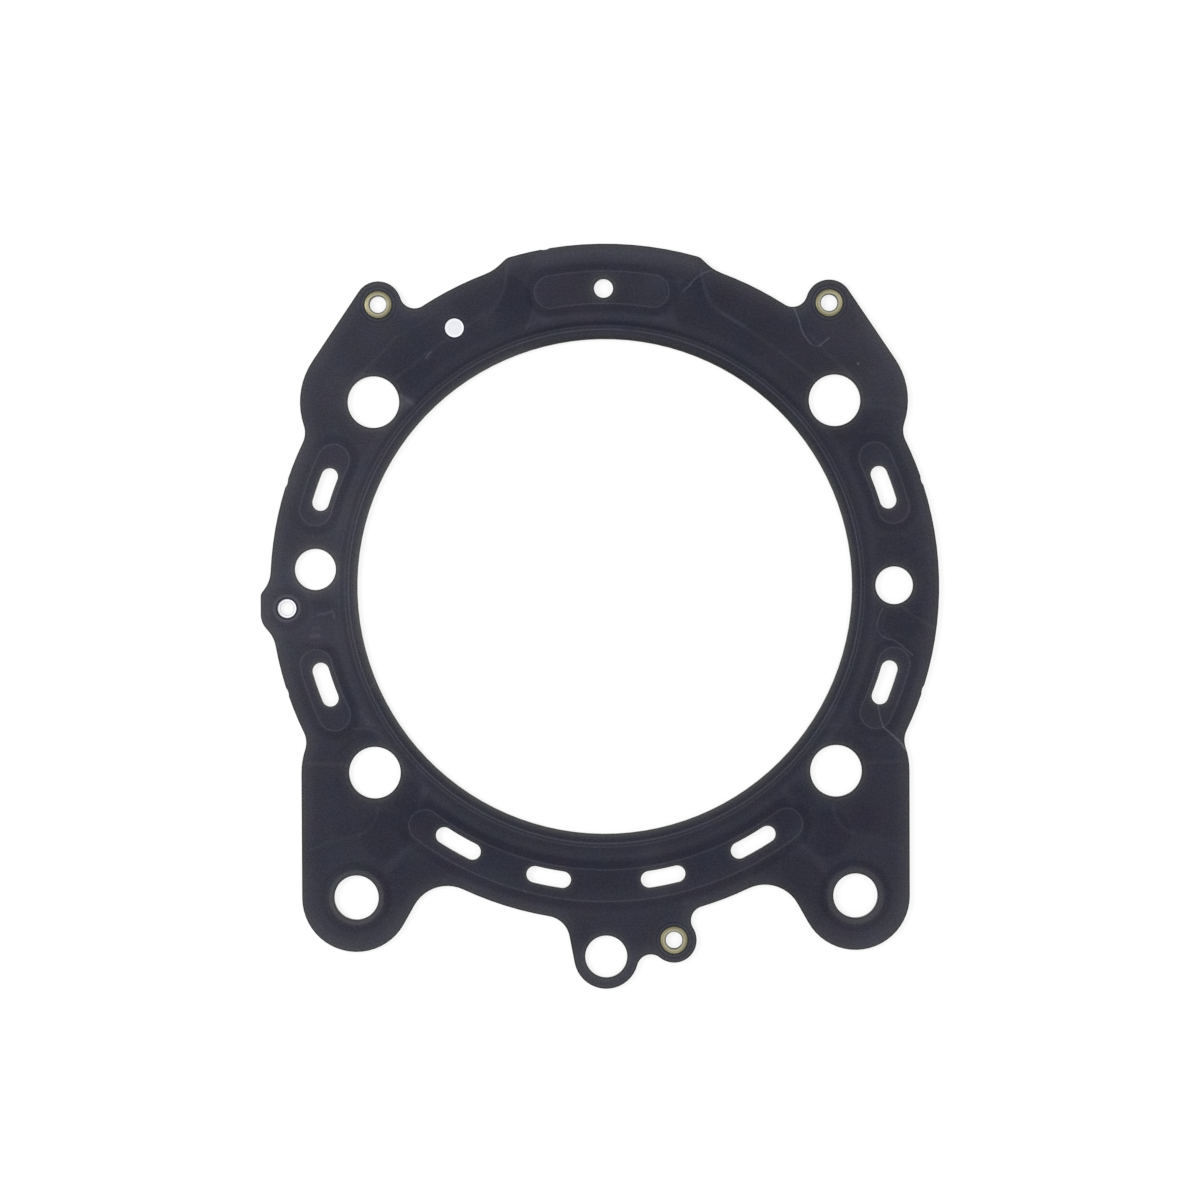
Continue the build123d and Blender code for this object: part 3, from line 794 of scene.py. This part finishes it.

# Patches, paler or darker by so many steps: x, y, reach and tone. The broad ones are painted light and shade, paler
# towards the left where the light falls and darker towards the bottom, the largest a painted sheen on the left; the
# small ones are specks and marks in the coat.
patches = {
    "bothSides": [
        (64.5, 48.0, 8.0, 7.5), (52.0, 59.5, 6.0, 3.0), (61.0, -79.0, 7.0, 6.0), (59.5, -57.0, 4.0, 2.0),
        (48.0, -56.0, 9.0, -3.0),
    ],
    "oneSide": [
        (-66.0, -2.0, 18.0, 9.0), (-58.5, 23.0, 9.0, 4.0), (67.3, -9.0, 3.5, -2.0), (-53.5, 36.0, 7.0, 4.5),
        (50.0, 41.0, 15.0, -3.0), (68.5, 17.0, 7.0, 3.0), (65.5, -20.0, 9.0, 3.5), (58.05, 50.6, 0.30, 34.0),
        (18.2, -72.2, 0.5, 8.0), (-18.4, -69.5, 0.5, 7.0), (-60.0, -75.0, 12.0, 2.5), (-65.0, -3.9, 3.4, -3.0),
        (64.0, 28.5, 3.5, 4.0), (33.0, 57.2, 6.0, -3.0), (-41.0, 68.0, 5.0, 4.5), (-44.0, 49.0, 6.5, -3.5),
        (-69.5, 31.0, 4.5, 5.0), (-61.6, 17.0, 4.5, 4.5), (56.0, -41.0, 5.5, -3.0), (29.0, -74.0, 5.0, -2.0),
        (-71.5, 24.0, 3.5, 5.0), (10.0, -61.5, 3.5, 5.5), (-47.0, -76.5, 3.8, 5.0), (-26.2, 61.0, 2.2, 5.0),
        (-36.0, 62.0, 2.5, 4.5), (43.5, 37.0, 5.0, 3.5), (59.5, 58.0, 5.5, 4.0), (13.0, -69.0, 3.2, 4.0),
        (45.5, -57.0, 3.4, 4.5), (12.0, 70.0, 2.8, 4.5), (18.3, 65.8, 2.6, 4.0), (69.0, -73.5, 4.5, 4.0),
        (-38.3, -49.0, 2.9, 4.0), (-51.5, 70.5, 2.5, 7.0), (-21.0, 74.6, 2.5, 6.0), (59.2, -53.8, 3.8, -8.0),
        (-60.0, -77.5, 4.5, -6.0), (42.0, -70.0, 3.4, -6.5), (-69.0, -60.0, 4.5, -5.0), (-8.0, -80.0, 4.0, -5.0),
        (-61.2, -6.0, 2.8, -4.0), (-59.5, -56.0, 3.5, -4.0), (-60.0, -45.0, 3.0, -4.0), (2.6, 66.3, 2.5, -4.0),
        (26.6, 65.6, 3.0, -4.0), (-66.5, 47.5, 4.0, -4.0),
    ],
}


def zoneTones(tree, given):
    point, folded = given["Point"], given["Folded"]
    # painted shade on the clamping zones
    (radius, middle, spread, half), softness, tone = shadedClampZones["slot"]
    slot = slotGap(tree, given, folded, radius, math.radians(middle), math.radians(spread), half)
    yield within(tree, slot, 0.0, softness), tone
    # the end by the top island, cut off by the pressed arc beside it
    centre, radius, softness, middle, spread, tone = shadedClampZones["bridgeEnd"]
    beyond = calc(tree, "SUBTRACT", radius, vectorCalc(tree, "DISTANCE", folded, at(*centre)))
    ending = within(tree, calc(tree, "MAXIMUM", slot, beyond), 0.0, softness)
    away = vectorCalc(tree, "DISTANCE", folded, at(*middle))
    yield ending, band(tree, away, 0.0, spread, tone)
    for (x, y, reach), softness, tone in shadedClampZones["discs"]:
        away = vectorCalc(tree, "DISTANCE", folded, at(x, y))
        yield within(tree, away, reach, softness), tone
    (x, y, reach), softness, tone = shadedClampZones["byStuds"]
    away = vectorCalc(tree, "DISTANCE", given["Quarter"], at(x, y))
    yield within(tree, away, reach, softness), tone
    line, reach, softness, tone = shadedClampZones["rightHole"]
    away = nearestOf(tree, strokeGaps(tree, point, [line]))
    yield within(tree, away, reach, softness), tone
    radius, middle, spread, half, softness, tone = shadedClampZones["bottomBand"]
    low = slotGap(tree, given, point, radius, math.radians(middle), math.radians(spread), half)
    yield within(tree, low, 0.0, softness), tone
    for place, group in ((folded, flats["bothSides"]), (point, flats["oneSide"])):
        for start, end, width, tone in group:
            yield bandTerm(tree, nearestOf(tree, strokeGaps(tree, place, [[start, end]])), 0.0, width, tone)


def patchTones(tree, given):
    # broad patches of painted light and shade, and small specks
    for place, spots in ((given["Folded"], patches["bothSides"]), (given["Point"], patches["oneSide"])):
        for x, y, reach, tone in spots:
            yield bandTerm(tree, vectorCalc(tree, "DISTANCE", place, at(x, y)), 0.0, reach, tone)


def makePatches():
    tree, given, out = newGroup("patches", placeInputs, [("Tone", number)])
    zones = addUp(tree, zoneTones(tree, given))
    spots = addUp(tree, patchTones(tree, given))
    feed(tree, out["Tone"], calc(tree, "ADD", zones, spots))
    return tree


# Fine arcs round the studs, where the light breaks on the roller marks
ripples = {
    "period": 0.72,
    "tone": 1.6,
    "bend": (0.12, 3.0),
    "spots": [(-62.0, -50.0, 7.0), (64.5, -48.0, 4.5), (-64.0, 39.0, 4.5), (-49.5, 51.0, 3.0)],
}


def makeRipples():
    tree, given, out = newGroup("ripples", placeInputs, [("Tone", number)])
    scale, bend = ripples["bend"]
    bent = noise(tree, given["Point"], scale)[0]
    reach = vectorCalc(tree, "DISTANCE", given["Quarter"], at(*sheet["stud"]))
    reach = calc(tree, "MULTIPLY_ADD", bent, bend, reach)
    wave = calc(tree, "SINE", calc(tree, "DIVIDE", calc(tree, "MULTIPLY", reach, 2 * math.pi), ripples["period"]))
    spots = addUp(tree, (bandTerm(tree, vectorCalc(tree, "DISTANCE", given["Point"], at(x, y)), 0.0, size, 1.0)
                         for x, y, size in ripples["spots"]))
    feed(tree, out["Tone"], calc(tree, "MULTIPLY", wave, spots))
    return tree


# Scale and detail of the fine roller grain, of the cloudier patches under it, and of the change of hue
grainScales = {"fine": (3.4, 3.0), "cloud": (0.11, 4.0), "middle": (1.1, 2.0), "hue": (0.17, 2.0)}


def makeGrain():
    tree, given, out = newGroup("grain", [
        ("Point", vector, None), ("Fine", number, 1.0), ("Middle", number, 0.0), ("Cloud", number, 1.0)],
        [("Tone", number), ("Height", number), ("Warm", number), ("Cool", number)])
    point = given["Point"]
    fine, cloud, middle = (noise(tree, point, *grainScales[name])[0] for name in ("fine", "cloud", "middle"))
    feed(tree, out["Tone"], addUp(tree, (
        calc(tree, "MULTIPLY", calc(tree, "SUBTRACT", value, 0.5), given[name])
        for value, name in ((fine, "Fine"), (middle, "Middle"), (cloud, "Cloud")))))
    feed(tree, out["Height"], fine)
    hue = noise(tree, point, *grainScales["hue"])
    parts = addNode(tree, "ShaderNodeSeparateColor")
    feed(tree, parts.inputs[0], hue["Color"])
    feed(tree, out["Warm"], calc(tree, "SUBTRACT", parts.outputs[1], 0.5))
    feed(tree, out["Cool"], calc(tree, "SUBTRACT", parts.outputs[2], 0.5))
    return tree


marginsGroup = makeMargins()
beadShadingGroup = makeBeadShading()
pressedHighlightGroup = makePressedLineHighlights()
scratchGroup = makeScratches()
patchGroup = makePatches()
rippleGroup = makeRipples()
grainGroup = makeGrain()


# The coat on the outer sheets. The relief is the grain's height, with the bump's strength and distance.
coat = {
    "tone": 57.5,
    "cool": 9.3,
    "coolMottle": 8.0,
    "warmMottle": 6.0,
    "lift": 0.018,
    "roughness": 0.46,
    "specular": 0.18,
    "fine": 42.0,
    "middle": 9.5,
    "cloud": 6.0,
    "wornSpeckle": 26.0,
    "wornGrey": 0.8,
    "green": 0.001,
    "darkest": 0.004,
    "cutColour": (0.22, 0.22, 0.21),
    "roughSpread": 0.16,
    "relief": (0.10, 0.35, 0.0001),
}


def makePunchedEdge():
    # 1 on the cut sides of a sheet, 0 on its faces and the gentle slopes of its beads
    tree, given, out = newGroup("punchedEdge", [("Normal", vector, None)], [("Mask", number)])
    parts = addNode(tree, "ShaderNodeSeparateXYZ")
    feed(tree, parts.inputs[0], given["Normal"])
    upright = calc(tree, "ABSOLUTE", parts.outputs["Z"])
    feed(tree, out["Mask"], calc(tree, "LESS_THAN", upright, 0.5))
    return tree


def makeDisplayTone():
    # a display-scale tone, cool or greyed by wear, as a colour
    tree, given, out = newGroup("displayTone", [
        ("Tone", number, 55.0), ("Cool", number, 11.0), ("Warm", number, 0.0), ("Wear", number, 0.0)],
        [("Color", colour3)])
    greyed = calc(tree, "MULTIPLY", given["Wear"], coat["wornGrey"])
    blue = calc(tree, "MULTIPLY", given["Cool"], calc(tree, "SUBTRACT", 1.0, greyed))
    base = calc(tree, "DIVIDE", given["Tone"], displaySteps)
    joined = addNode(tree, "ShaderNodeCombineColor")
    feed(tree, joined.inputs[0], calc(tree, "MULTIPLY_ADD", given["Warm"], 1 / displaySteps, base))
    feed(tree, joined.inputs[1], calc(tree, "ADD", base, coat["green"]))
    feed(tree, joined.inputs[2], calc(tree, "ADD", base, calc(tree, "DIVIDE", blue, displaySteps)))
    curved = addNode(tree, "ShaderNodeGamma")
    feed(tree, curved.inputs[0], joined.outputs[0])
    curved.inputs[1].default_value = displayGamma
    unlifted = vectorCalc(tree, "SUBTRACT", curved.outputs[0], (coat["lift"],) * 3)
    feed(tree, out["Color"], vectorCalc(tree, "MAXIMUM", unlifted, (coat["darkest"],) * 3))
    return tree


def cutSides(tree, face, cutColour):
    # the face's colour with the cut metal's on the punched sides, and the mask of those sides
    geometry = addNode(tree, "ShaderNodeNewGeometry")
    cut = useGroup(tree, punchedEdge, Normal=geometry.outputs["True Normal"])["Mask"]
    surface = addNode(tree, "ShaderNodeMix", data_type="RGBA")
    feed(tree, surface.inputs["Factor"], cut)
    feed(tree, surface.inputs[6], face)
    surface.inputs[7].default_value = (*cutColour, 1.0)
    return surface.outputs[2], cut


punchedEdge = makePunchedEdge()
displayTone = makeDisplayTone()


def coatMaterial(name, scratched):
    material, tree, shader = newMaterial(name)
    place = placeOnSheet(tree)
    rims = useGroup(tree, marginsGroup, **place)
    speckle = calc(tree, "MULTIPLY_ADD", rims["Wear"], coat["wornSpeckle"], coat["fine"])
    grain = useGroup(tree, grainGroup, Point=place["Point"], Fine=speckle, Middle=coat["middle"],
                     Cloud=coat["cloud"])
    tone = addUp(tree, [grain["Tone"], rims["Tone"], coat["tone"]])
    rippled = useGroup(tree, rippleGroup, **place)["Tone"]
    tone = calc(tree, "MULTIPLY_ADD", rippled, ripples["tone"], tone)
    layers = [beadShadingGroup, patchGroup, pressedHighlightGroup] + ([scratchGroup] if scratched else [])
    tone = calc(tree, "ADD", tone, addUp(tree, (useGroup(tree, group, **place)["Tone"] for group in layers)))
    cool = calc(tree, "MULTIPLY_ADD", grain["Cool"], coat["coolMottle"], coat["cool"])
    warm = calc(tree, "MULTIPLY", grain["Warm"], coat["warmMottle"])
    colour = useGroup(tree, displayTone, Tone=tone, Cool=cool, Warm=warm, Wear=rims["Wear"])["Color"]
    surface, cut = cutSides(tree, colour, coat["cutColour"])
    feed(tree, shader.inputs["Base Color"], surface)
    feed(tree, shader.inputs["Metallic"], cut)
    spread = coat["roughSpread"]
    rough = calc(tree, "MULTIPLY_ADD", grain["Height"], spread, coat["roughness"] - spread / 2)
    feed(tree, shader.inputs["Roughness"], rough)
    shader.inputs["Specular IOR Level"].default_value = coat["specular"]
    relief, strength, distance = coat["relief"]
    height = calc(tree, "MULTIPLY", grain["Height"], relief)
    bump = addNode(tree, "ShaderNodeBump")
    bump.inputs["Strength"].default_value = strength
    bump.inputs["Distance"].default_value = distance
    feed(tree, bump.inputs["Height"], height)
    feed(tree, shader.inputs["Normal"], bump.outputs[0])
    return material


def dress(node, material):
    mesh = nodes[node].data
    if not mesh.materials:
        mesh.materials.append(material)
    for index in range(len(nodes[node].material_slots)):
        nodes[node].material_slots[index].link = "OBJECT"
        nodes[node].material_slots[index].material = material


dress("upper_layer", coatMaterial("coatUpperSheet", True))
dress("lower_layer", coatMaterial("coatLowerSheet", False))
print("coat on both outer sheets")


# The bare spring-steel spacer, seen in the window and the sight hole. Its cut edges are duller.
spacer = {
    "colour": (0.74, 0.745, 0.78),
    "cutColour": (0.20, 0.20, 0.205),
    "holeRim": (1.52, 0.16, 0.30),
    "brightRim": (1.95, 0.22, 0.22),
    "roughness": 0.34,
    "cutRoughness": 0.5,
    "roughSpread": 0.15,
    "roughDrop": 0.07,
    "drawn": (9.0, 0.5, 1.0),
    "drawnShade": 0.94,
}


def spacerMaterial():
    material, tree, shader = newMaterial("bareSpacerSteel")
    point = placeOnSheet(tree)["Point"]
    drawn = addNode(tree, "ShaderNodeMapping")
    feed(tree, drawn.inputs["Vector"], point)
    drawn.inputs["Scale"].default_value = spacer["drawn"]
    lines = noise(tree, drawn.outputs[0], 1.0)[0]
    shade = tuple(c * spacer["drawnShade"] for c in spacer["colour"])
    face = ramp(tree, lines, [(0.3, shade), (0.7, spacer["colour"])])
    # a painted highlight on a rim by each opening, and the dark edge of the spacer's own hole
    sight = vectorCalc(tree, "DISTANCE", point, at(*sheet["sight"][:2]))
    window = vectorCalc(tree, "DISTANCE", point, at(*sheet["window"][:2]))
    bright = band(tree, calc(tree, "MINIMUM", sight, window), *spacer["brightRim"])
    dark = band(tree, sight, *spacer["holeRim"])
    share = calc(tree, "ADD", calc(tree, "SUBTRACT", bright, dark), 1.0)
    face = vectorCalc(tree, "SCALE", face, scale=share)
    surface, cut = cutSides(tree, face, spacer["cutColour"])
    feed(tree, shader.inputs["Base Color"], surface)
    shader.inputs["Metallic"].default_value = 1.0
    duller = calc(tree, "MULTIPLY_ADD", cut, spacer["cutRoughness"] - spacer["roughness"],
                  spacer["roughness"] - spacer["roughDrop"])
    feed(tree, shader.inputs["Roughness"], calc(tree, "MULTIPLY_ADD", lines, spacer["roughSpread"], duller))
    return material


dress("spacer_layer", spacerMaterial())
print("spacer in bare steel")


# Yellow-passivated eyelets, rolled out over both faces: one section, spun round each hole.
# The section is (radius, height above the sheet's face) from the barrel's mouth out to the lip.
eyelet = {
    "places": {"upper_left": (-51.50, 64.55), "upper_right": (51.50, 64.55), "lower": (15.50, -80.80)},
    "lip": [(1.90, -0.16), (1.905, -0.02), (1.94, 0.06), (2.02, 0.13), (2.12, 0.168), (2.24, 0.18), (2.40, 0.178),
            (2.52, 0.165), (2.62, 0.148), (2.80, 0.122), (2.94, 0.095), (3.04, 0.062), (3.09, 0.030),
            (3.085, 0.005)],
    "barrel": 2.22,
    "steps": 112,
    "beadHeight": 0.0002,
    "barrelInset": 0.000005,
    "toneStart": 1.8,
    "toneSpan": 1.4,
    # tones: the passivated colour by radius, with painted shadow in the mouth and at the lip's outer edge and a
    # painted highlight on the rolled crown
    "tones": [(1.9, (0.02, 0.019, 0.014)), (2.02, (0.05, 0.048, 0.034)), (2.14, (0.26, 0.248, 0.175)),
              (2.24, (0.28, 0.267, 0.19)), (2.36, (0.37, 0.35, 0.25)),
              (2.42, (0.36, 0.34, 0.24)), (2.58, (0.255, 0.238, 0.155)), (2.72, (0.20, 0.185, 0.115)),
              (2.86, (0.23, 0.21, 0.135)), (3.02, (0.13, 0.12, 0.075)), (3.12, (0.05, 0.046, 0.03))],
    "roughness": 0.36,
    "roughSpread": 0.2,
    "mottle": 0.5,
}


def makeEyelet(name, x, y):
    faces = (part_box("upper_layer")[1].z - eyelet["beadHeight"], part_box("lower_layer")[0].z + eyelet["beadHeight"])
    shape = bmesh.new()
    section = [(r, faces[0] + h / perMetre) for r, h in reversed(eyelet["lip"])]
    section += [(r, faces[1] - h / perMetre) for r, h in eyelet["lip"]]
    section += [(eyelet["barrel"], faces[1] - eyelet["barrelInset"]),
                (eyelet["barrel"], faces[0] + eyelet["barrelInset"])]
    points = [shape.verts.new(((x + r) / perMetre, y / perMetre, z)) for r, z in section]
    edges = [shape.edges.new(pair) for pair in zip(points, points[1:] + points[:1])]
    bmesh.ops.spin(shape, geom=points + edges, cent=(x / perMetre, y / perMetre, 0.0), axis=(0.0, 0.0, 1.0),
                   angle=2 * math.pi, steps=eyelet["steps"], use_merge=True)
    bmesh.ops.remove_doubles(shape, verts=shape.verts, dist=1e-7)
    bmesh.ops.recalc_face_normals(shape, faces=shape.faces)
    for face in shape.faces:
        face.smooth = True
    mesh = bpy.data.meshes.new("rolledEyelet_" + name)
    shape.to_mesh(mesh)
    shape.free()
    piece = bpy.data.objects.new("rolledEyelet_" + name, mesh)
    bpy.context.scene.collection.objects.link(piece)
    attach(piece, "root")
    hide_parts("eyelet_" + name)
    return piece


def eyeletMaterial():
    material, tree, shader = newMaterial("yellowPassivatedSteel")
    place = placeOnSheet(tree)
    grain = useGroup(tree, grainGroup, Point=place["Point"], Fine=eyelet["mottle"], Cloud=0.0)
    start, span = eyelet["toneStart"], eyelet["toneSpan"]
    share = clamped(tree, calc(tree, "DIVIDE", calc(tree, "SUBTRACT", place["Eyelets"], start), span))
    # the passivated colour with painted shadow in the mouth and at the lip's edge and a painted highlight on the
    # crown
    plateWithPaintedShade = ramp(tree, share, [((r - start) / span, tone) for r, tone in eyelet["tones"]])
    mottled = vectorCalc(tree, "SCALE", plateWithPaintedShade, scale=calc(tree, "ADD", grain["Tone"], 1.0))
    feed(tree, shader.inputs["Base Color"], mottled)
    shader.inputs["Metallic"].default_value = 1.0
    spread = eyelet["roughSpread"]
    rough = calc(tree, "MULTIPLY_ADD", grain["Height"], spread, eyelet["roughness"] - spread / 2)
    feed(tree, shader.inputs["Roughness"], rough)
    return material


passivated = eyeletMaterial()
for name, (x, y) in eyelet["places"].items():
    makeEyelet(name, x, y).data.materials.append(passivated)
print("rolled eyelets:", len(eyelet["places"]))


# Studio: a white floor that keeps the shadow, a white surround and three soft lamps
studio = {
    "floorSize": 6.0,
    "floorDrop": 0.00001,  # just clear of the crests that lie on it
    "floorColour": (0.30, 0.30, 0.30, 1.0),
    "floorGlow": 0.75,
    "surround": 0.45,
    "lamps": [
        ("keyLamp", (-0.62, 0.10, 0.62), 0.50, 3.7),
        ("fillLamp", (0.60, 0.35, 0.70), 0.60, 1.8),
        ("frontLamp", (0.10, -0.75, 0.65), 0.60, 1.5),
    ],
}


def makeFloor():
    shape = bmesh.new()
    bmesh.ops.create_grid(shape, x_segments=1, y_segments=1, size=studio["floorSize"] / 2)
    bmesh.ops.translate(shape, vec=(0.0, 0.0, -studio["floorDrop"]), verts=shape.verts)
    mesh = bpy.data.meshes.new("floor")
    shape.to_mesh(mesh)
    shape.free()
    floor = bpy.data.objects.new("floor", mesh)
    bpy.context.scene.collection.objects.link(floor)
    material = bpy.data.materials.new("whiteFloor")
    material.use_nodes = True
    tree = material.node_tree
    tree.nodes.clear()
    matt = addNode(tree, "ShaderNodeBsdfDiffuse")
    matt.inputs["Color"].default_value = studio["floorColour"]
    glow = addNode(tree, "ShaderNodeEmission")
    path = addNode(tree, "ShaderNodeLightPath")
    glow.inputs["Color"].default_value = (1.0, 1.0, 1.0, 1.0)
    seen = calc(tree, "MAXIMUM", path.outputs["Is Camera Ray"], path.outputs["Is Glossy Ray"])
    feed(tree, glow.inputs["Strength"], calc(tree, "MULTIPLY", seen, studio["floorGlow"]))
    both = addNode(tree, "ShaderNodeAddShader")
    feed(tree, both.inputs[0], matt.outputs[0])
    feed(tree, both.inputs[1], glow.outputs[0])
    clear = addNode(tree, "ShaderNodeBsdfTransparent")
    side = addNode(tree, "ShaderNodeNewGeometry")
    mixed = addNode(tree, "ShaderNodeMixShader")
    feed(tree, mixed.inputs[0], side.outputs["Backfacing"])
    feed(tree, mixed.inputs[1], both.outputs[0])
    feed(tree, mixed.inputs[2], clear.outputs[0])
    feed(tree, addNode(tree, "ShaderNodeOutputMaterial").inputs["Surface"], mixed.outputs[0])
    mesh.materials.append(material)


def makeSurround():
    world = bpy.data.worlds.new("whiteSurround")
    bpy.context.scene.world = world
    world.use_nodes = True
    tree = world.node_tree
    sky = tree.nodes["Background"]
    sky.inputs["Color"].default_value = (1.0, 1.0, 1.0, 1.0)
    path = addNode(tree, "ShaderNodeLightPath")
    seen = calc(tree, "MAXIMUM", path.outputs["Is Camera Ray"], path.outputs["Is Glossy Ray"])
    seen = calc(tree, "MAXIMUM", seen, path.outputs["Is Transmission Ray"])
    dim = studio["surround"]
    feed(tree, sky.inputs["Strength"], calc(tree, "MULTIPLY_ADD", seen, 1.0 - dim, dim))


def makeLamps():
    for name, place, size, power in studio["lamps"]:
        data = bpy.data.lights.new(name, "AREA")
        data.shape = "DISK"
        data.size = size
        data.energy = power
        lamp = bpy.data.objects.new(name, data)
        bpy.context.scene.collection.objects.link(lamp)
        lamp.location = place
        lamp.rotation_euler = (Vector((0.0, 0.0, 0.0)) - Vector(place)).to_track_quat("-Z", "Y").to_euler()


# The camera looks straight down, a little off the bore's axis and a quarter of a degree round
camera = {"lens": 100.0, "sensor": 36.0, "aim": (-0.0010916, -0.0030916), "height": 0.7607, "roll": -0.236}


def makeCamera():
    data = bpy.data.cameras.new("overheadCamera")
    data.lens = camera["lens"]
    data.sensor_width = camera["sensor"]
    made = bpy.data.objects.new("overheadCamera", data)
    bpy.context.scene.collection.objects.link(made)
    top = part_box("upper_layer")[1].z
    made.location = (*camera["aim"], top + camera["height"])
    made.rotation_euler = (0.0, 0.0, math.radians(camera["roll"]))
    bpy.context.scene.camera = made


makeFloor()
makeSurround()
makeLamps()
makeCamera()
bpy.context.scene.view_settings.view_transform = "Standard"
print("studio ready")
